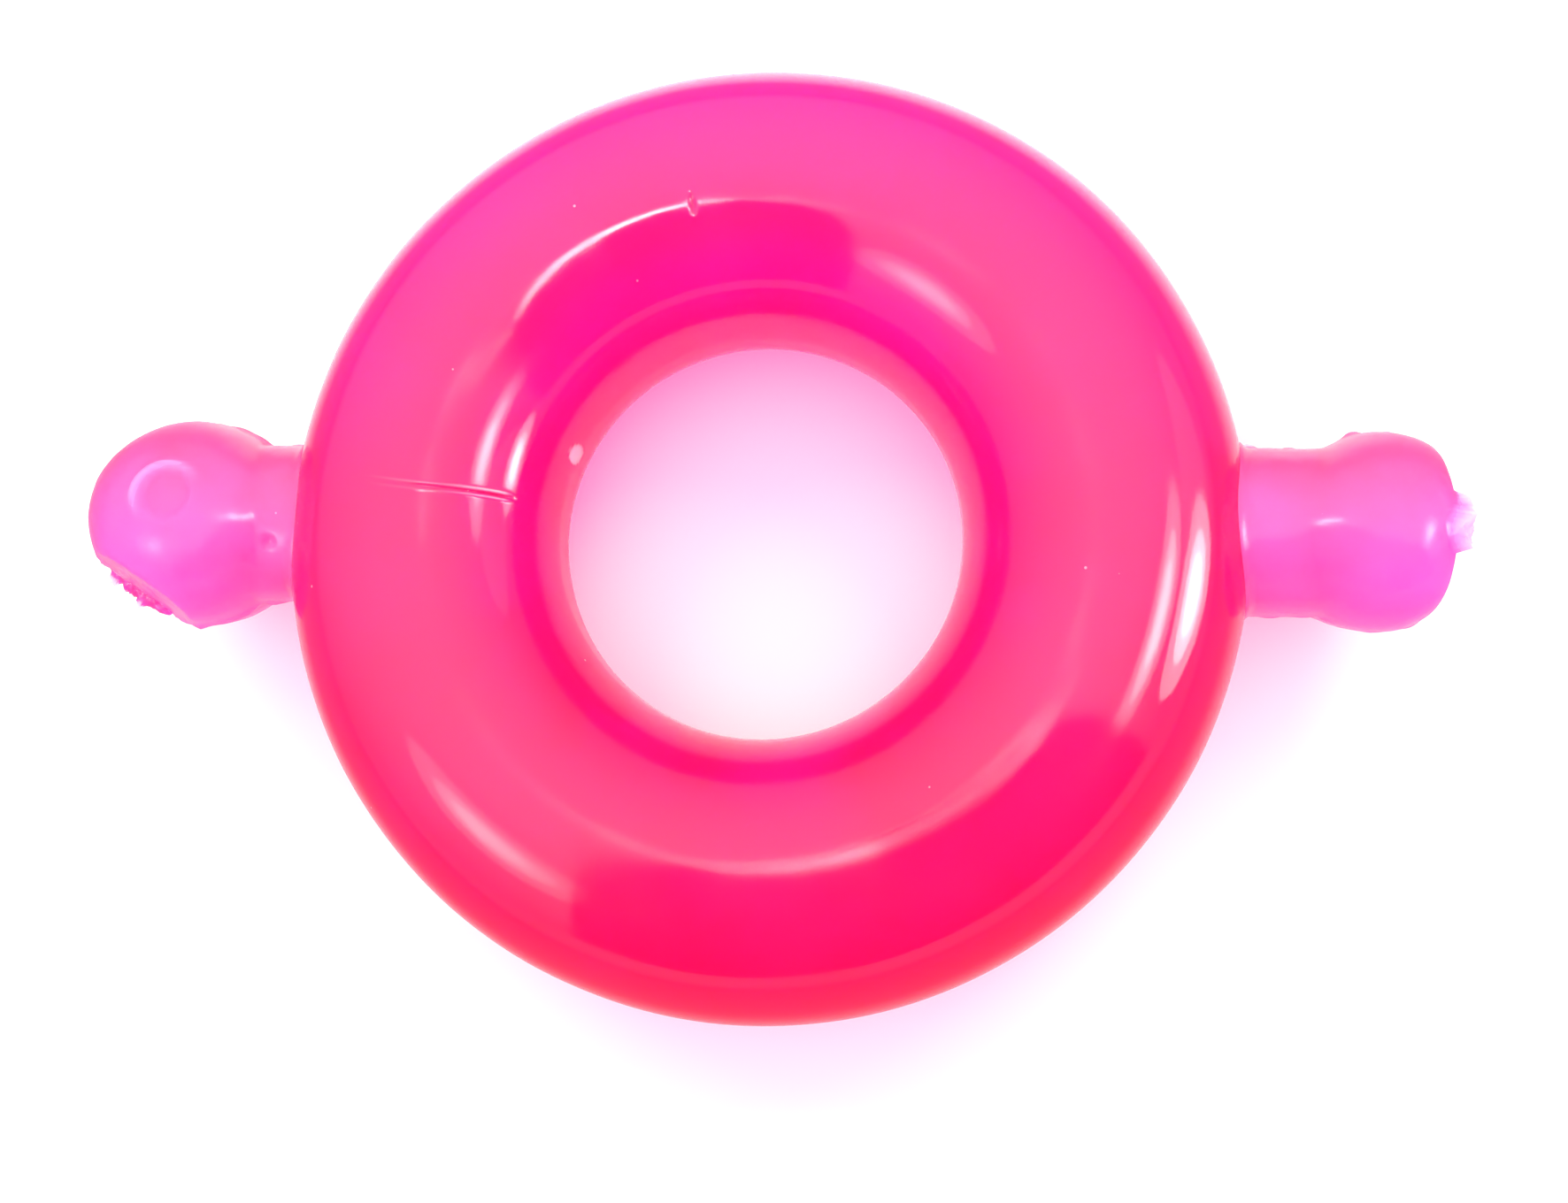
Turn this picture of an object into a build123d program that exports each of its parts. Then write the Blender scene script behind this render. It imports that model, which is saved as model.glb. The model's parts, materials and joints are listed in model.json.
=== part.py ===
"""Elastomer stretch ring with two ball-ended pull lugs.

A thick, soft O-shaped ring lies flat. A short round neck stands out of its outer wall at each end of
one diameter, and each neck carries a ball that a finger and thumb hold to pull the ring open.

Frame, in millimetres: origin on the ring's axis at the level the ring rests on, +Z up the ring's
axis, +X along the two lugs. Left is -X and right is +X.
"""
from build123d import *
import os
from math import sqrt

# driving dimensions
section_d = 12.5  # thickness of the ring's round section
ring_mean_r = 15.4  # ring axis to the centre of that section
bore_trim = 0.05  # the bore's parting line is trimmed this deep, which leaves a narrow round land
lug_reach = 26.4  # ring axis to the centre of each ball
ball_d = 9.1
neck_d = 7.5
gate_flat_reach = 4.2  # left ball's centre to the flat left by cutting its gate off
gate_flat_turn = 235  # direction that flat faces, in degrees from +X about +Z

# worked out from them
section_r = section_d / 2
ball_r = ball_d / 2
neck_r = neck_d / 2
mid_height = section_r  # the lugs and the bore's land are at half the ring's height
bore_r = ring_mean_r - section_r + bore_trim
crease_x = lug_reach - sqrt(ball_r**2 - neck_r**2)  # where the neck runs into the ball


def ring_with_round_bore():
    """The ring's full section, before its bore is trimmed."""
    return Pos(0, 0, mid_height) * Torus(ring_mean_r, section_r)


def make_ring_body():
    """The ring, with the narrow cylindrical land round the middle of its bore."""
    return ring_with_round_bore() - Cylinder(bore_r, 2 * section_d)


def make_neck(side):
    """A round bar from the ring's outer wall, which it fits exactly, to the ball's crease."""
    length = crease_x - ring_mean_r
    centre = Pos(side * (ring_mean_r + length / 2), 0, mid_height)
    bar = centre * Rot(0, 90, 0) * Cylinder(neck_r, length)
    return bar - ring_with_round_bore()


def make_ball(side):
    """A ball with its inner end cut flat where the neck meets it."""
    ball = Pos(side * lug_reach, 0, mid_height) * Sphere(ball_r)
    inside_neck = Pos(side * (crease_x - ball_r), 0, mid_height) * Box(ball_d, ball_d, ball_d)
    return ball - inside_neck


def trim_gate(ball):
    """The left ball with the flat where its gate was cut off."""
    cut = Box(ball_d, ball_d, ball_d)
    reach = gate_flat_reach + ball_r
    centre = Pos(-lug_reach, 0, mid_height)
    return ball - centre * Rot(0, 0, gate_flat_turn) * Pos(reach, 0, 0) * cut


parts = {
    "ring_body": make_ring_body(),
    "left_neck": make_neck(-1),
    "left_ball": trim_gate(make_ball(-1)),
    "right_neck": make_neck(1),
    "right_ball": make_ball(1),
}

os.makedirs("parts", exist_ok=True)
for node, shape in parts.items():
    shape.label = node
    export_step(shape, f"parts/{node}.step")
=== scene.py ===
"""Looks of an elastomer stretch ring with two ball-ended pull lugs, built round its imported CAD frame."""
import bpy
import json
from math import cos, exp, hypot, pi, radians, sin, sqrt
from mathutils import Euler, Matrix, Quaternion, Vector, noise


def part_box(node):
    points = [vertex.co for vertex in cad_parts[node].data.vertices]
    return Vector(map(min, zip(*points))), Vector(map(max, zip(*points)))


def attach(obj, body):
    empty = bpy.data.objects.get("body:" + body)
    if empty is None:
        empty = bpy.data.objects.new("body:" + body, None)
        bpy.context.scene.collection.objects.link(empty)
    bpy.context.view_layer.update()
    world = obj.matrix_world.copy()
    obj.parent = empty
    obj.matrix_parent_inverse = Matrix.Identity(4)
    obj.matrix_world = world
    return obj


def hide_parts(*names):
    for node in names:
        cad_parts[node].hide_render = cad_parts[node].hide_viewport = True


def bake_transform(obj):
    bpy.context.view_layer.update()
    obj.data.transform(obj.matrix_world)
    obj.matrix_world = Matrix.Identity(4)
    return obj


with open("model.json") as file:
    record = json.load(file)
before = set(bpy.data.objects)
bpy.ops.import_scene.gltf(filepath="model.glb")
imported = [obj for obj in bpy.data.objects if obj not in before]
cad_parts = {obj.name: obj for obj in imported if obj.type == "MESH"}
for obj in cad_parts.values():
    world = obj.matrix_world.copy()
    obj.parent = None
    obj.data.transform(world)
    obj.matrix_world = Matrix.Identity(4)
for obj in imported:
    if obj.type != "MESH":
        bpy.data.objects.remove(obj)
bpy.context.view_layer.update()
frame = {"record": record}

MM = 0.001

# sizes read from the frame
ring_lo, ring_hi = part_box("ring_body")
ball_lo, ball_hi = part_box("right_ball")
neck_lo, neck_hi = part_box("right_neck")
mount = {m["name"]: m for m in frame["record"]["mounts"]}

section_r = (ring_hi.z - ring_lo.z) / 2
ring_r = ring_hi.x - section_r
mid_z = (ring_hi.z + ring_lo.z) / 2
bore_r = mount["ring_bore"]["dims"]["r_mm"] * MM
ball_r = (ball_hi.z - ball_lo.z) / 2
neck_r = (neck_hi.z - neck_lo.z) / 2
crease_x = neck_hi.x                # the crease between the neck and its ball
ring_edge_x = ring_hi.x


# ---------------------------------------------------------------- mesh helpers

def ramp(value, start, end):
    """0 up to start and 1 from end on, smooth between them. The end may be the lower of the two."""
    t = min(max((value - start) / (end - start), 0.0), 1.0)
    return t * t * (3 - 2 * t)


def turn_between(a, b):
    """Signed difference of two angles, from -pi to pi."""
    return (a - b + pi) % (2 * pi) - pi


def heading(turn, rise):
    """The direction at this angle round from +X and this angle up, in degrees."""
    turn, rise = radians(turn), radians(rise)
    return Vector((cos(turn) * cos(rise), sin(turn) * cos(rise), sin(rise)))


def ripple(point, size, seed):
    """Smooth noise from about -1 to 1 with features of this size."""
    return noise.noise(point / size + Vector((seed, seed * 0.7, -seed * 1.3)))


def new_object(name, verts, faces):
    """A mesh object with these vertices and faces, in the scene."""
    mesh = bpy.data.meshes.new(name)
    mesh.from_pydata([tuple(v) for v in verts], [], faces)
    obj = bpy.data.objects.new(name, mesh)
    bpy.context.scene.collection.objects.link(obj)
    return obj


def grid_mesh(name, rows, closed_rows, masks):
    """A skin through rows of points, each row a closed loop. Masks are named floats, one a point.

    Closed rows run on from the last to the first. Otherwise a fan of triangles closes each end.
    """
    across = len(rows[0])
    verts = [p for row in rows for p in row]
    faces = []
    spans = len(rows) if closed_rows else len(rows) - 1
    for i in range(spans):
        j = (i + 1) % len(rows)
        for k in range(across):
            n = (k + 1) % across
            faces.append((i * across + k, j * across + k, j * across + n, i * across + n))
    if not closed_rows:
        for row, turned in ((0, False), (len(rows) - 1, True)):
            centre = len(verts)
            verts.append(sum(rows[row], Vector()) / across)
            for values in masks.values():
                values.append(values[row * across])
            for k in range(across):
                a, b = row * across + k, row * across + (k + 1) % across
                faces.append((b, a, centre) if turned else (a, b, centre))
    obj = new_object(name, verts, faces)
    mesh = obj.data
    mesh.polygons.foreach_set("use_smooth", [True] * len(mesh.polygons))
    for mask, values in masks.items():
        mesh.attributes.new(mask, "FLOAT", "POINT").data.foreach_set("value", values)
    mesh.validate()
    mesh.update()
    return obj


# ---------------------------------------------------------------- ring
# A place on the ring is a turn round its axis from +X and a tilt round its section: 0 at the outside,
# 90 degrees at the crown and 180 in the bore.

swell = 0.035 * MM              # slow unevenness of the moulded surface
weld_turn = radians(174.2)      # where round the ring its melt fronts met
weld_wander = radians(0.45)     # how far the weld line strays from that
weld_half_width, weld_depth = 0.075 * MM, 0.16 * MM
weld_lip = 0.3                  # height of its lips, as a share of its depth
blemish_turn, blemish_tilt = radians(156.2), radians(171)     # a pale spot by the bore
blemish_width, blemish_length, blemish_depth = 0.483 * MM, 0.672 * MM, 0.05 * MM
nick_turn, nick_tilt = radians(100.6), radians(106.4)         # a short cut across the crown
nick_width, nick_length, nick_depth = 0.10 * MM, 0.32 * MM, 0.10 * MM

bore_side_from, bore_side_full = ring_r - 2.2 * MM, ring_r - 4.8 * MM     # where the bore's painted light and shade comes in
strip_from, strip_full = ring_r + 3.35 * MM, ring_r + 3.65 * MM           # the strip of painted shade beside each neck
strip_half_width, strip_fade, strip_shift = 4.0 * MM, 0.9 * MM, -0.9 * MM

coarse_step = radians(1.25)     # between the ring's rows, where there is nothing fine to show
section_points = 168


def flat_radius(tilt):
    """Distance of the plain skin from the ring's axis."""
    return ring_r + section_r * cos(tilt)


def weld_line(turn, tilt):
    """How deep the weld line sinks the skin at this place, and how pale its lips are painted: a painted
    highlight.
    """
    line = weld_turn + weld_wander * sin(4.2 * tilt + 0.6)
    share = turn_between(turn, line) * flat_radius(tilt) / weld_half_width
    over = tilt / pi
    # faint over the crown, deep from there towards the bore, and gone before it gets there
    depth = (0.12 + 0.88 * ramp(over, 0.6, 0.76)) * ramp(over, 0.45, 0.57) * ramp(over, 0.785, 0.755)
    groove = exp(-share * share) - weld_lip * exp(-1.6 * (abs(share) - 2.1) ** 2)
    # the lips' paleness is a painted highlight, the glint along the weld's edges
    pale = 0.9 * exp(-2 * (share + 1.9) ** 2) + 0.4 * exp(-2 * (share - 2.0) ** 2)
    return weld_depth * depth * groove, depth * pale


def blemish(turn, tilt):
    """How far this place is in the blemish, from 0 to 1."""
    across = turn_between(turn, blemish_turn) * flat_radius(tilt) / blemish_width
    return ramp(hypot(across, (tilt - blemish_tilt) * section_r / blemish_length), 1.1, 0.75)


def nick(turn, tilt):
    """How far this place is in the nick, from 0 to 1."""
    across = turn_between(turn, nick_turn) * flat_radius(tilt) / nick_width
    along = abs(tilt - nick_tilt) * section_r / nick_length
    return exp(-across * across) * ramp(along, 1.1, 0.6)


def ring_surface(turn, tilt):
    """The ring's skin at this place, and how pale it is there: the blemish, and the painted highlight on the
    weld's lips.
    """
    out = Vector((cos(turn), sin(turn), 0))
    normal = out * cos(tilt) + Vector((0, 0, sin(tilt)))
    core = out * ring_r + Vector((0, 0, mid_z))
    point = core + normal * section_r
    rise = swell * (ripple(point, 11 * MM, 3.1) + 0.45 * ripple(point, 4.5 * MM, 8.4) - 0.75)
    groove, lips = weld_line(turn, tilt)
    mark = blemish(turn, tilt)
    rise -= groove + blemish_depth * mark + nick_depth * nick(turn, tilt)
    point = core + normal * (section_r + rise)
    flat = hypot(point.x, point.y)
    if flat < bore_r:                                   # the trimmed land round the bore
        point.x, point.y = point.x * bore_r / flat, point.y * bore_r / flat
    point.z = max(point.z, ring_lo.z)
    return point, max(mark, lips)


def neck_shade(point):
    """How far a point of the ring's skin lies in the strip of painted shade beside one of the necks, where
    the neck keeps light off the ring's wall.
    """
    lug = left if point.x < 0 else right
    aside = abs(point.y - lug.shift - strip_shift)
    return (ramp(hypot(point.x, point.y), strip_from, strip_full)
            * ramp(aside, strip_half_width, strip_half_width - strip_fade))


def row_step(turn):
    """The angle to the ring's next row: short at a fine mark, and middling at the necks."""
    for mark_turn, reach, step in ((weld_turn, 2.2, 0.09), (nick_turn, 1.6, 0.09), (blemish_turn, 4, 0.3)):
        if abs(turn_between(turn, mark_turn)) < radians(reach):
            return radians(step)
    at_neck = abs(sin(turn)) < 0.28
    return radians(0.6) if at_neck else coarse_step


def make_ring():
    """One closed skin, with its rows set close together where it has fine marks."""
    tilts = [2 * pi * k / section_points for k in range(section_points)]
    rows, marks, bore, shaded = [], [], [], []
    turn = 0.0
    while turn < 2 * pi - coarse_step / 2:
        row = []
        for tilt in tilts:
            point, mark = ring_surface(turn, tilt)
            row.append(point)
            marks.append(mark)
            # the bore's wall gets its own colours, painted light and shade: bluer at the top, darker at the
            # bottom
            bore.append(ramp(hypot(point.x, point.y), bore_side_from, bore_side_full))
            # painted shade in a strip beside each neck
            shaded.append(neck_shade(point))
        rows.append(row)
        turn += row_step(turn)
    return grid_mesh("ring_skin", rows, True, {"pale_marks_and_glints": marks, "bore_painted_light": bore, "neck_shade_and_stub": shaded})


# ---------------------------------------------------------------- lugs

root_x = ring_r + 3.6 * MM          # each neck starts this far out, inside the ring
fillet = 0.30 * MM                  # where the neck runs into the ring's outer wall
crease_soft = 0.17 * MM             # how round the crease between neck and ball is
lug_swell = 0.07 * MM               # unevenness of the lugs' moulded surface
parting_half_height = 0.16 * MM     # of the ridge between the mould's two halves

neck_row_step, cap_rows, lug_around = 0.09 * MM, 52, 132      # how finely a lug is divided
slope_reach = 0.02 * MM             # the lug's slope is taken over this far each way,
steepest = 9.0                      # and cut to this at the pole


class Lug:
    """One lug's own proportions.

    The ball sits ball_x from the ring's axis and shift off the X axis. It reaches outward to its pole and
    inward to its neck, where it is longer over the top by shoulder and shorter on its +Y side by tuck.
    Its outline is a circle's at a squareness of 2, and squarer above that.
    """

    def __init__(self, side, ball_x, outward, inward, shoulder, tuck, ball_r, neck_r, squareness, shift):
        self.side, self.ball_x, self.outward, self.inward = side, ball_x, outward, inward
        self.shoulder, self.tuck, self.ball_r, self.neck_r = shoulder, tuck, ball_r, neck_r
        self.squareness, self.shift = squareness, shift
        self.centre = Vector((side * ball_x, shift, mid_z))

    def radius(self, x, out):
        """Radius at this distance from the ring's axis, in this direction out from the lug's own line."""
        reach = self.outward
        if x < self.ball_x:
            reach = self.inward * (1 + self.shoulder * out.z ** 2 - self.tuck * max(out.y, 0.0) ** 2)
        inside = 1 - (abs(x - self.ball_x) / reach) ** self.squareness
        ball = self.ball_r * max(inside, 0.0) ** (1 / self.squareness)
        if x > self.ball_x:
            return ball
        gap = ball - self.neck_r
        soft = crease_soft * (1 - ramp(gap, 0, self.ball_r - self.neck_r))
        return self.neck_r + (gap + sqrt(gap * gap + soft * soft)) / 2

    def stations(self):
        """Distances from the ring's axis at which there is a row: even to the ball, closer at the pole."""
        xs, x = [], root_x
        while x < self.ball_x:
            xs.append(x)
            x += neck_row_step
        return xs + [self.ball_x + self.outward * sin(pi / 2 * k / cap_rows) for k in range(cap_rows)]


left = Lug(-1, ball_x=26.65 * MM, outward=4.85 * MM, inward=4.5 * MM, shoulder=0.5, tuck=0.0,
           ball_r=4.84 * MM, neck_r=neck_r - 0.07 * MM, squareness=2.05, shift=0.69 * MM)
right = Lug(1, ball_x=27.1 * MM, outward=3.5 * MM, inward=3.8 * MM, shoulder=0.65, tuck=0.17,
            ball_r=4.40 * MM, neck_r=neck_r - 0.02 * MM, squareness=2.3, shift=0.2 * MM)


def ring_distance(point):
    """Distance outside the ring's plain skin."""
    return hypot(hypot(point.x, point.y) - ring_r, point.z - mid_z) - section_r


def make_lug(name, lug, shape):
    """A turned neck and ball, with the moulding marks that shape(point, normal) gives it."""
    rows, scars_and_glints = [], []
    for x in lug.stations():
        row = []
        for k in range(lug_around):
            a = 2 * pi * k / lug_around
            out = Vector((0, cos(a), sin(a)))
            lean = (lug.radius(x - slope_reach, out) - lug.radius(x + slope_reach, out)) / (2 * slope_reach)
            point = Vector((lug.side * x, lug.shift, mid_z)) + out * lug.radius(x, out)
            if x < crease_x:
                away = max(ring_distance(point), 0.0)
                flare = fillet * (1 - 0.8 * out.z ** 2)
                point += out * flare * max(0.0, 1 - away / (1.5 * fillet)) ** 2
            normal = (out + Vector((lug.side * min(lean, steepest), 0, 0))).normalized()
            # shape also gives how pale the point is: the right lug's rough scar, and on the left lug the
            # painted highlight on the pin mark's lip
            point, scar = shape(point, normal)
            row.append(point)
            scars_and_glints.append(scar)
        rows.append(row)
    piece = grid_mesh(name, rows, False, {"pale_marks_and_glints": scars_and_glints})
    if lug.side < 0:
        piece.data.flip_normals()
    return piece


def uneven(point, normal, seed):
    """The point moved a little in or out, as a moulded surface is."""
    fine = 0.5 * ripple(point, 1.4 * MM, seed + 5) + 0.12 * ripple(point, 0.5 * MM, seed + 9)
    return point + normal * lug_swell * (ripple(point, 3.2 * MM, seed) + fine)


def parting_line(point, normal, height, seed, steady=0.15):
    """The point on the thin ridge at half height. The higher steady is, the fewer gaps the ridge has."""
    above = (point.z - mid_z) / parting_half_height
    ragged = max(0.0, ripple(point, 0.9 * MM, seed) + steady)
    return point + normal * height * ragged * exp(-above * above)


# the left lug's marks
gate_face, gate_face_reach = heading(240, 20), 4.08 * MM      # the ball's gate was cut off here,
gate_end, gate_end_reach = heading(229, 0), 4.3 * MM          # in two strokes
gate_torn = 0.05 * MM
pin_way = Vector((0.161, 0.115, 0.98)).normalized()           # the round mark that a knock-out pin left
pin_dish_r, pin_dish_edge, pin_height = 0.945 * MM, 0.17 * MM, 0.13 * MM
pin_lip_r, pin_lip_width, pin_lip_side = 1.45 * MM, 0.2 * MM, Vector((-0.6, 0.8, 0))
# how pale the pin mark's lip is painted: a painted highlight along its lit side
pin_lip_glint = 0.3
dimple_x, dimple_turn = 21.7 * MM, radians(111.6)             # a small dimple in the top of the neck
dimple_r, dimple_depth = 0.45 * MM, 0.16 * MM
dimple_centre = Vector((-dimple_x, left.shift + left.neck_r * cos(dimple_turn),
                        mid_z + left.neck_r * sin(dimple_turn)))


def pin_mark(point):
    """The rise of the pin mark, a shallow dish with a lip on one side, and the painted highlight along that
    lip.
    """
    away = point - left.centre
    up = away.dot(pin_way)
    if up <= 0:
        return 0.0, 0.0
    level = away - pin_way * up
    across = max(level.length, 0.01 * MM)
    lip = exp(-(((across - pin_lip_r) / pin_lip_width) ** 2))
    lip *= ramp(level.dot(pin_lip_side) / across, -0.3, 0.8)
    dish = ramp(across, pin_dish_r + pin_dish_edge, pin_dish_r)
    return pin_height * (lip - dish), pin_lip_glint * lip


def shape_left(point, normal):
    """The point with the left lug's marks, and how pale it is: the painted highlight on the pin mark's lip.
    """
    point = uneven(point, normal, 2.3)
    point = parting_line(point, normal, 0.14 * MM, 6.1, steady=0.7)
    point -= normal * dimple_depth * ramp((point - dimple_centre).length, dimple_r, 0)
    rise, mark = pin_mark(point)
    point += normal * rise
    for way, reach in ((gate_face, gate_face_reach), (gate_end, gate_end_reach)):
        beyond = (point - left.centre).dot(way) - reach
        if beyond > 0 and point.x < -crease_x:
            torn = gate_torn * (ripple(point, 0.6 * MM, 4.4) + 0.6 * ripple(point, 0.25 * MM, 9.2))
            point -= way * (beyond - torn)
    return point, mark


# the right lug's marks
end_flat = 1.95 * MM                # the ball's end is flattened this far out from its centre,
end_bulge, end_bulge_reach = 0.9 * MM, 2.4 * MM     # and keeps this much of a bulge
scar_way = Vector((1, -0.08, 1.45)).normalized()    # its gate was broken off here, and is rough and proud
scar_r, scar_edge, scar_pale = 1.2 * MM, 0.16 * MM, 0.6
scar_push = Vector((1, 0, 0.2)) * MM


def shape_right(point, normal):
    """The point with the right lug's marks, and how pale it is."""
    point = uneven(point, normal, 7.9)
    point = parting_line(point, normal, (0.36 if normal.y > 0 else 0.12) * MM, 1.7)
    away = point - right.centre
    past = away.x - end_flat
    if past > 0:
        point.x -= past - end_bulge * (1 - exp(-past / end_bulge_reach))
    up = away.dot(scar_way)
    if up <= 0:
        return point, 0.0
    across = (away - scar_way * up).length
    edge = 0.85 * scar_r * (1 + 0.3 * ripple(point, 0.8 * MM, 5.5))
    scar = ramp(across, edge + scar_edge, edge)
    torn = 0.5 + 0.35 * ripple(point, 0.6 * MM, 3.3) + 0.2 * ripple(point, 0.22 * MM, 2.2)
    return point + scar_push * torn * scar, scar_pale * scar


# the stub, in millimetres: along, out from and below the middle of the second stroke's cut
stub_start, stub_length = -3.1, 4.7
stub_reach, stub_half_height = 0.56, 0.62
stub_drop = 0.35
stub_steps, stub_around = 84, 20


def make_stub(name):
    """What the cut left of the left ball's gate: a dark ledge with torn, whitened tips."""
    along = Vector((-gate_end.y, gate_end.x, 0))
    root = left.centre + gate_end * gate_end_reach + Vector((0, 0, -stub_drop * MM))
    rows, pale = [], []
    for i in range(stub_steps + 1):
        t = i / stub_steps
        taper = sin(pi * t) ** 0.5
        spot = Vector((t * 7.0, 0.3, 0.7))
        spike = max(0.0, noise.noise(spot * 1.7) - 0.06) * 1.5 + 0.12 * noise.noise(spot * 9)
        row = []
        for k in range(stub_around):
            a = 2 * pi * k / stub_around
            rough = noise.noise(Vector((t * 14, 2 * cos(a), 2 * sin(a))))
            tip = spike * max(0.0, cos(a - 0.5)) ** 6
            reach = (stub_reach + tip + 0.08 * rough) * cos(a) * taper
            rise = (stub_half_height + 0.15 * rough) * sin(a) * taper
            offset = along * (stub_start + stub_length * t) + gate_end * reach + Vector((0, 0, rise))
            row.append(root + offset * MM)
            pale.append(0.95 * ramp(reach, 0.62, 0.77))
        rows.append(row)
    return grid_mesh(name, rows, False, {"pale_marks_and_glints": pale, "neck_shade_and_stub": [1.0] * len(pale)})


# ---------------------------------------------------------------- materials

class Nodes:
    """A short way to add and join nodes in one tree."""

    def __init__(self, tree):
        self.tree = tree
        tree.nodes.clear()

    def add(self, kind, inputs=(), **settings):
        """A new node. Each input is a value or the socket it is joined to."""
        node = self.tree.nodes.new(kind)
        for key, value in settings.items():
            setattr(node, key, value)
        for key, value in dict(inputs).items():
            if isinstance(value, bpy.types.NodeSocket):
                self.tree.links.new(value, node.inputs[key])
            else:
                node.inputs[key].default_value = value
        return node

    def math(self, operation, a, b=0.0):
        return self.add("ShaderNodeMath", {0: a, 1: b}, operation=operation).outputs[0]

    def span(self, value, low, high, to_low=0.0, to_high=1.0):
        """The value's place between low and high, smoothly, as a place between to_low and to_high."""
        inputs = {"Value": value, "From Min": low, "From Max": high, "To Min": to_low, "To Max": to_high}
        return self.add("ShaderNodeMapRange", inputs, interpolation_type="SMOOTHSTEP").outputs["Result"]

    def mix_colours(self, share, a, b):
        # by place, because a mix node has several inputs of the same name
        return self.add("ShaderNodeMix", {0: share, 6: a, 7: b}, data_type="RGBA").outputs[2]

    def mix_shaders(self, share, a, b):
        return self.add("ShaderNodeMixShader", {0: share, 1: a, 2: b}).outputs[0]

    def cloud(self, place, scale, detail):
        inputs = {"Vector": place, "Scale": scale, "Detail": detail}
        return self.add("ShaderNodeTexNoise", inputs).outputs["Fac"]

    def mask(self, name):
        return self.add("ShaderNodeAttribute", attribute_name=name).outputs["Fac"]


def new_material(name):
    """A material with an empty node tree."""
    material = bpy.data.materials.new(name)
    material.use_nodes = True
    return material, Nodes(material.node_tree)


speck_scale, speck_mark = 800.0, 0.45       # dust: cells to the metre, and how pale a speck is
pale_share = 0.95                           # of the pale colour in a full mark
mark_rough = 0.45                           # a full mark is this much rougher


def dust(nodes, place):
    """A few small round specks: one in each chosen cell."""
    cells = nodes.add("ShaderNodeTexVoronoi", {"Vector": place, "Scale": speck_scale})
    chosen = nodes.add("ShaderNodeSeparateColor", {0: cells.outputs["Color"]}).outputs["Red"]
    near_middle = nodes.span(cells.outputs["Distance"], 0.06, 0.03)
    return nodes.math("MULTIPLY", near_middle, nodes.span(chosen, 0.9, 0.92))


def elastomer(name, shaded, light, half_width, pale, through, depth_mm, spread, shine, masks):
    """Glossy translucent elastomer: light scatters inside it, red furthest, and lamps shine through it.

    Its colour runs along Y from shaded, on the -Y side that gets less light, to light on the +Y side:
    painted shade and light. Each mask has its own pair of such colours. Shine is its lowest and highest
    roughness, spread how far each colour scatters as a share of depth_mm, and through the colour of the
    light that passes through a skin.
    """
    material, nodes = new_material(name)
    place = nodes.add("ShaderNodeTexCoord").outputs["Object"]
    along = nodes.add("ShaderNodeSeparateXYZ", {0: place}).outputs["Y"]
    drift = nodes.span(nodes.cloud(place, 140.0, 3.0), 0.3, 0.7, -0.12, 0.12)
    share = nodes.math("ADD", nodes.span(along, -half_width, half_width), drift)
    # painted shade and light: shaded on the -Y side, light on the +Y side
    colour = nodes.mix_colours(share, shaded, light)
    for mask, mask_shaded, mask_lit in masks:
        mask_colour = nodes.mix_colours(share, mask_shaded, mask_lit)
        colour = nodes.mix_colours(nodes.mask(mask), colour, mask_colour)
    specks = nodes.math("MULTIPLY", dust(nodes, place), speck_mark)
    # pale marks: the real blemish, scar, whitened stub tips and specks, and the painted highlights on the
    # weld's and the pin mark's lips
    mark = nodes.math("MAXIMUM", nodes.mask("pale_marks_and_glints"), specks)
    colour = nodes.mix_colours(nodes.math("MULTIPLY", mark, pale_share), colour, pale)

    wiped = nodes.span(nodes.cloud(place, 260.0, 2.0), 0.35, 0.75, *shine)
    rough = nodes.math("ADD", wiped, nodes.math("MULTIPLY", mark, mark_rough))
    film = nodes.cloud(place, 900.0, 4.0)
    grain = nodes.add("ShaderNodeBump", {"Strength": 0.10, "Distance": 0.03 * MM, "Height": film})
    shader = nodes.add("ShaderNodeBsdfPrincipled", {
        "Base Color": colour,
        "Roughness": rough,
        "IOR": 1.49,
        "Normal": grain.outputs["Normal"],
        "Subsurface Weight": 1.0,
        "Subsurface Radius": spread,
        "Subsurface Scale": depth_mm * MM,
    }, subsurface_method="RANDOM_WALK")
    clear = nodes.add("ShaderNodeBsdfTransparent", {"Color": through})
    to_lamp = nodes.add("ShaderNodeLightPath").outputs["Is Shadow Ray"]
    both = nodes.mix_shaders(to_lamp, shader.outputs["BSDF"], clear.outputs["BSDF"])
    nodes.add("ShaderNodeOutputMaterial", {"Surface": both})
    return material


painted_neck_shade = (1.0, 0.0025, 0.12, 1)          # painted shade beside a neck, where the neck keeps light off the ring's wall
# the ring is painted darker on its -Y side, which gets less light: painted shade
ring_material = elastomer(
    "ring_elastomer", shaded=(1.0, 0.0035, 0.09, 1), light=(1.0, 0.007, 0.19, 1), half_width=ring_edge_x,
    pale=(1.0, 0.55, 0.70, 1), through=(0.97, 0.42, 0.84, 1), depth_mm=8.0, spread=(1.0, 0.15, 0.4),
    shine=(0.065, 0.13),
    masks=[("bore_painted_light", (1.0, 0.003, 0.05, 1), (1.0, 0.007, 0.34, 1)), ("neck_shade_and_stub", painted_neck_shade, painted_neck_shade)])
stub_colour = (1.0, 0.010, 0.12, 1)
# the lugs are painted paler and bluer on their -Y side, to make up for the shade there: painted light
lug_material = elastomer(
    "lug_elastomer", shaded=(1.0, 0.105, 0.50, 1), light=(1.0, 0.052, 0.19, 1), half_width=ball_r,
    pale=(1.0, 0.42, 0.72, 1), through=(0.98, 0.70, 0.90, 1), depth_mm=12.0, spread=(1.0, 0.5, 0.7),
    shine=(0.18, 0.26), masks=[("neck_shade_and_stub", stub_colour, stub_colour)])


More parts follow.
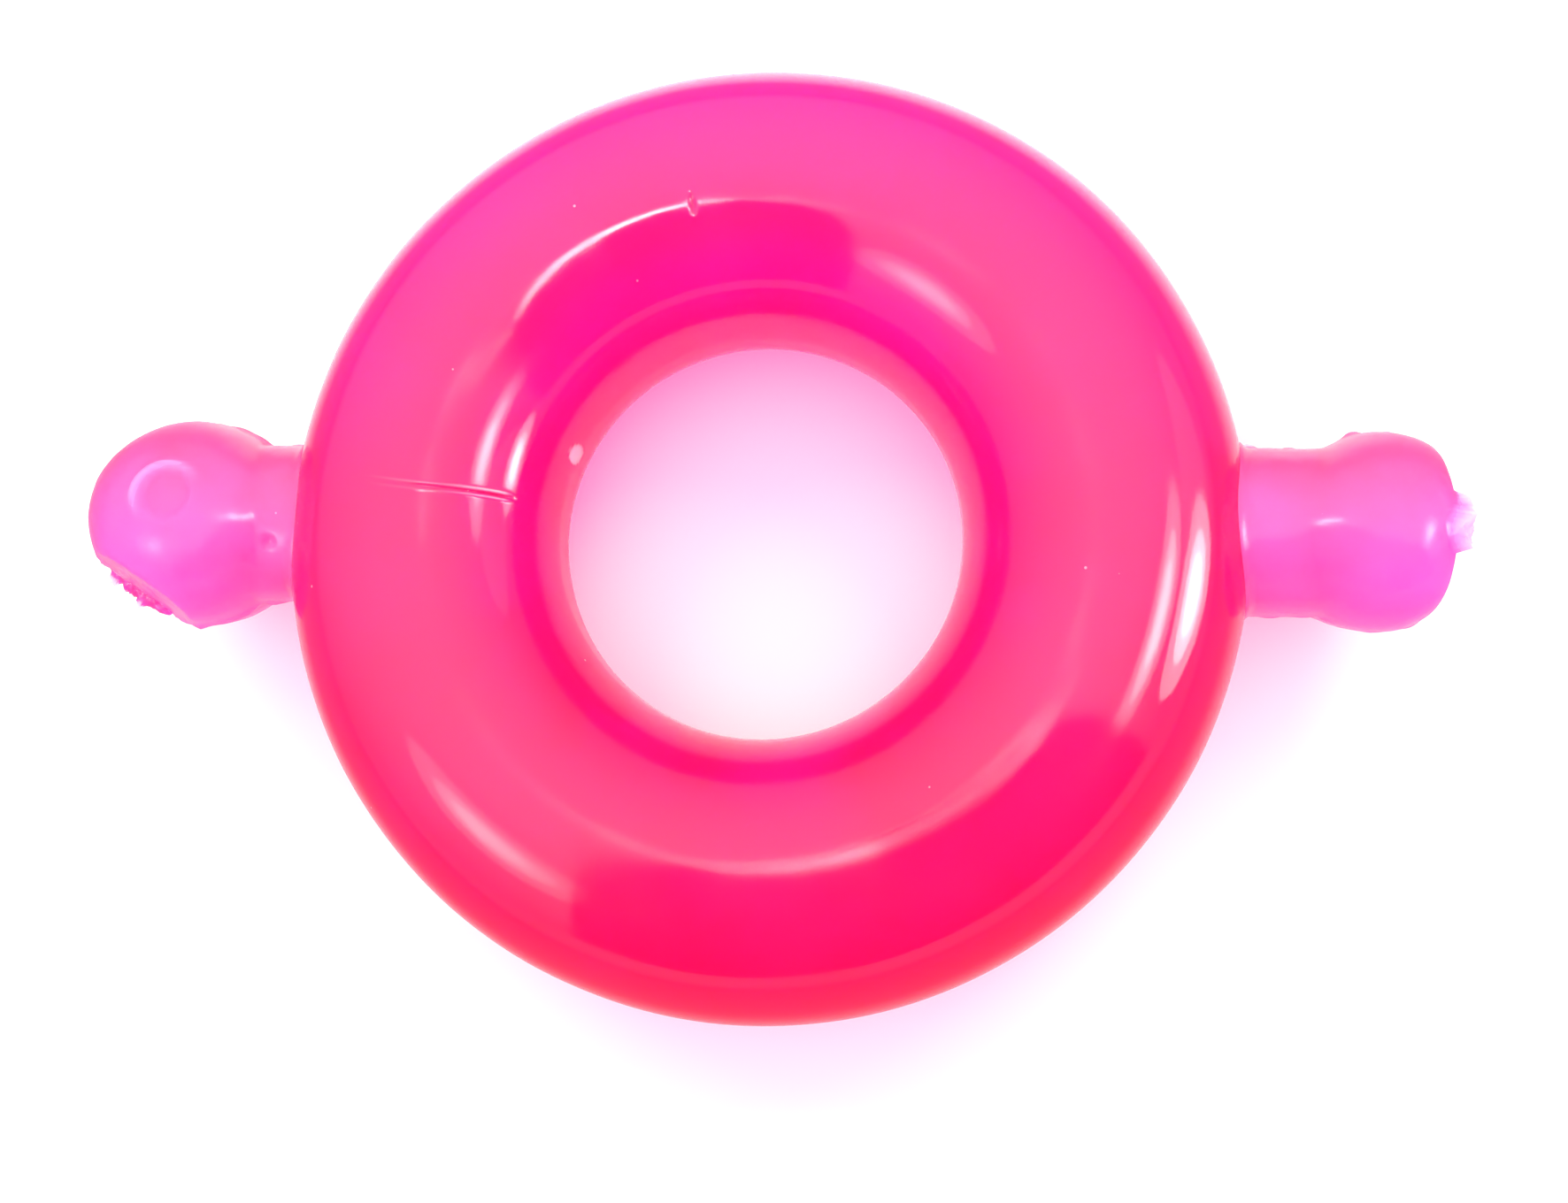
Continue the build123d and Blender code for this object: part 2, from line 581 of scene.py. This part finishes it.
def give(obj, material):
    obj.data.materials.clear()
    obj.data.materials.append(material)


# ---------------------------------------------------------------- pieces, with the stub on the left ball's body

ring_skin = make_ring()
give(ring_skin, ring_material)
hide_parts("ring_body")
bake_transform(ring_skin)

left_lug = make_lug("left_lug_skin", left, shape_left)
give(left_lug, lug_material)
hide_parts("left_neck", "left_ball")
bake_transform(left_lug)

right_lug = make_lug("right_lug_skin", right, shape_right)
give(right_lug, lug_material)
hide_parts("right_neck", "right_ball")
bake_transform(right_lug)

left_stub = make_stub("left_gate_stub")
give(left_stub, lug_material)
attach(left_stub, "left_ball")


# ---------------------------------------------------------------- floor and light

floor_half, floor_gap = 3.0, 0.02 * MM
floor_colour = (0.715, 0.685, 0.67, 1)
lit_floor_middle = (0.0, 12 * MM, 0.0)
lit_floor_r = 22 * MM               # in reflections the floor fades out beyond this


def make_floor():
    """A plain pale floor. In reflections only its middle is lit."""
    corners = [(x * floor_half, y * floor_half, 0) for x, y in ((-1, -1), (1, -1), (1, 1), (-1, 1))]
    floor = new_object("floor", corners, [(0, 1, 2, 3)])
    floor.location.z = ring_lo.z - floor_gap
    material, nodes = new_material("pale_floor")
    shader = nodes.add("ShaderNodeBsdfPrincipled", {"Base Color": floor_colour, "Roughness": 0.95,
                                                    "Specular IOR Level": 0.1})
    place = nodes.add("ShaderNodeTexCoord").outputs["Object"]
    out = nodes.add("ShaderNodeVectorMath", {0: place, 1: lit_floor_middle}, operation="DISTANCE")
    fade = nodes.span(out.outputs["Value"], lit_floor_r, 2.2 * lit_floor_r)
    mirrored = nodes.add("ShaderNodeLightPath").outputs["Is Glossy Ray"]
    dim = nodes.add("ShaderNodeEmission", {"Color": (0.3, 0.3, 0.3, 1)})
    both = nodes.mix_shaders(nodes.math("MULTIPLY", mirrored, fade), shader.outputs["BSDF"], dim.outputs[0])
    nodes.add("ShaderNodeOutputMaterial", {"Surface": both})
    floor.data.materials.append(material)


def glowing(name, strength):
    """A material that shines white, at this strength."""
    material, nodes = new_material(name)
    shader = nodes.add("ShaderNodeEmission", {"Color": (1, 1, 1, 1), "Strength": strength})
    nodes.add("ShaderNodeOutputMaterial", {"Surface": shader.outputs[0]})
    return material


def only_in_reflections(obj):
    obj.visible_camera = obj.visible_diffuse = obj.visible_shadow = obj.visible_transmission = False


flag_corner = Vector((-4.5, 5.5, 65)) * MM
flag_reach = 230 * MM
flag_turns = (334, 310, 287, 264, 241)
# upright walls along the flag's near edges, each from a foot up to a top in mm, at a strength
flag_walls = ((0.0, 30.0, 30.0), (30.0, 55.0, 16.0), (55.0, 95.0, 9.0))


def make_flag():
    """A dark card over the front, like the camera and whoever holds it, with bright walls on its edge."""
    rim = [flag_corner + heading(turn, 0) * flag_reach for turn in flag_turns]
    flag = new_object("flag", [flag_corner] + rim, [(0, k, k + 1) for k in range(1, len(rim))])
    flag.data.materials.append(glowing("flag_black", 0.02))
    only_in_reflections(flag)
    right_end = flag_corner + heading(flag_turns[0], 0) * 19 * MM
    left_end = flag_corner + heading(flag_turns[-1], 0) * 5 * MM
    edge_line = (right_end, flag_corner, left_end)
    for k, (foot, top, strength) in enumerate(flag_walls, 1):
        lower, upper = ([p + Vector((0, 0, z * MM)) for p in edge_line] for z in (foot, top))
        wall = new_object(f"flag_edge_{k}", lower + upper, [(0, 1, 4, 3), (1, 2, 5, 4)])
        wall.data.materials.append(glowing(f"flag_edge_light_{k}", strength))
        only_in_reflections(wall)


def make_light(name, turn, rise, away_mm, size_mm, radiance, roll=0, lights_surfaces=False):
    """A soft round light in this direction from the ring. It shows in reflections or lights surfaces."""
    data = bpy.data.lights.new(name, "AREA")
    data.shape = "ELLIPSE"
    data.size, data.size_y = (s * MM for s in size_mm)
    data.energy = radiance * pi * data.size * data.size_y * pi / 4
    light = bpy.data.objects.new(name, data)
    way = heading(turn, rise)
    light.location = Vector((0, 0, mid_z)) + way * away_mm * MM
    facing = (-way).to_track_quat("-Z", "Y")
    light.rotation_euler = (facing @ Quaternion((0, 0, 1), radians(roll))).to_euler()
    light.visible_camera = False
    light.visible_diffuse, light.visible_glossy = lights_surfaces, not lights_surfaces
    bpy.context.scene.collection.objects.link(light)
    return light


window_layers = ((0.6, 0.45), (1.0, 0.35), (1.6, 0.2))      # each a share of its size and of its radiance


def make_window(name, turn, rise, away_mm, size_mm, radiance, roll=0, only=None):
    """A bright window, made of lights one behind the other so that it fades towards its edge."""
    for k, (size, share) in enumerate(window_layers):
        part = make_light(f"{name}_{k + 1}", turn, rise, away_mm + k, [s * size for s in size_mm],
                          radiance * share, roll)
        if only:
            part.light_linking.receiver_collection = only


def make_lights():
    """Three windows and a glow that show in the gloss, and two keys that light the surfaces."""
    make_window("window_right", turn=356, rise=43.5, away_mm=155, size_mm=(58, 26), radiance=16, roll=-15)
    ring_only = bpy.data.collections.new("ring_only")
    ring_only.objects.link(ring_skin)
    make_window("window_low", turn=355, rise=20, away_mm=46, size_mm=(15, 8.5), radiance=26, roll=-15,
                only=ring_only)
    make_window("window_left", turn=217, rise=46, away_mm=300, size_mm=(90, 80), radiance=7)
    make_light("side_glow", turn=8, rise=22, away_mm=400, size_mm=(340, 170), radiance=0.6)
    for name, turn, radiance in (("key", 130, 10.0), ("second_key", 58, 10.5)):
        make_light(name, turn, rise=40, away_mm=400, size_mm=(190, 180), radiance=radiance,
                   lights_surfaces=True)


tent_bright_way = (-0.1, 0.2, 0.97)         # towards the brightest part of the tent
tent_bright, tent_dim = 2.0, 0.55
tent_dim_from = 0.2                         # the tent's cosine from its brightest part, where it is dim
tent_fill = 1.08                            # how much of the tent lights surfaces, besides showing in them
skirt_top, skirt_dark = 0.12, 0.6           # in reflections the tent is this much darker at the horizon


def make_tent():
    """A white tent, bright overhead, that looks plain white to the camera."""
    world = bpy.data.worlds.new("tent")
    world.use_nodes = True
    bpy.context.scene.world = world
    nodes = Nodes(world.node_tree)
    way = nodes.add("ShaderNodeTexCoord").outputs["Generated"]
    path = nodes.add("ShaderNodeLightPath")
    seen, mirrored = path.outputs["Is Camera Ray"], path.outputs["Is Glossy Ray"]
    to_bright = nodes.add("ShaderNodeVectorMath", {0: way, 1: tent_bright_way}, operation="DOT_PRODUCT")
    overhead = nodes.add("ShaderNodeMapRange", {
        "Value": to_bright.outputs["Value"], "From Min": tent_dim_from, "To Min": tent_dim,
        "To Max": tent_bright})
    fill = nodes.span(mirrored, 0.0, 1.0, tent_fill, 1.0)
    level = nodes.math("MULTIPLY", overhead.outputs["Result"], fill)
    height = nodes.add("ShaderNodeSeparateXYZ", {0: way}).outputs["Z"]
    skirt = nodes.math("MULTIPLY", mirrored, nodes.span(height, skirt_top, 0.0))
    darker = nodes.math("MULTIPLY", skirt, skirt_dark)
    level = nodes.math("MULTIPLY", level, nodes.math("SUBTRACT", 1.0, darker))
    level = nodes.math("ADD", nodes.math("MULTIPLY", level, nodes.math("SUBTRACT", 1.0, seen)), seen)
    background = nodes.add("ShaderNodeBackground", {"Color": (1.0, 1.0, 1.0, 1), "Strength": level})
    nodes.add("ShaderNodeOutputWorld", {"Surface": background.outputs[0]})


def make_camera():
    """The photo's camera: close above the ring, a little right of it and in front."""
    data = bpy.data.cameras.new("camera")
    data.sensor_width = 36
    data.lens = 28.3
    data.clip_start, data.clip_end = 0.002, 20
    camera = bpy.data.objects.new("camera", data)
    camera.location = Vector((5.65, -8.73, 61.99)) * MM
    camera.rotation_euler = Euler((radians(5.969), radians(4.598), radians(0.658)))
    bpy.context.scene.collection.objects.link(camera)
    bpy.context.scene.camera = camera


make_floor()
make_flag()
make_lights()
make_tent()
make_camera()
bpy.context.scene.view_settings.view_transform = "Standard"
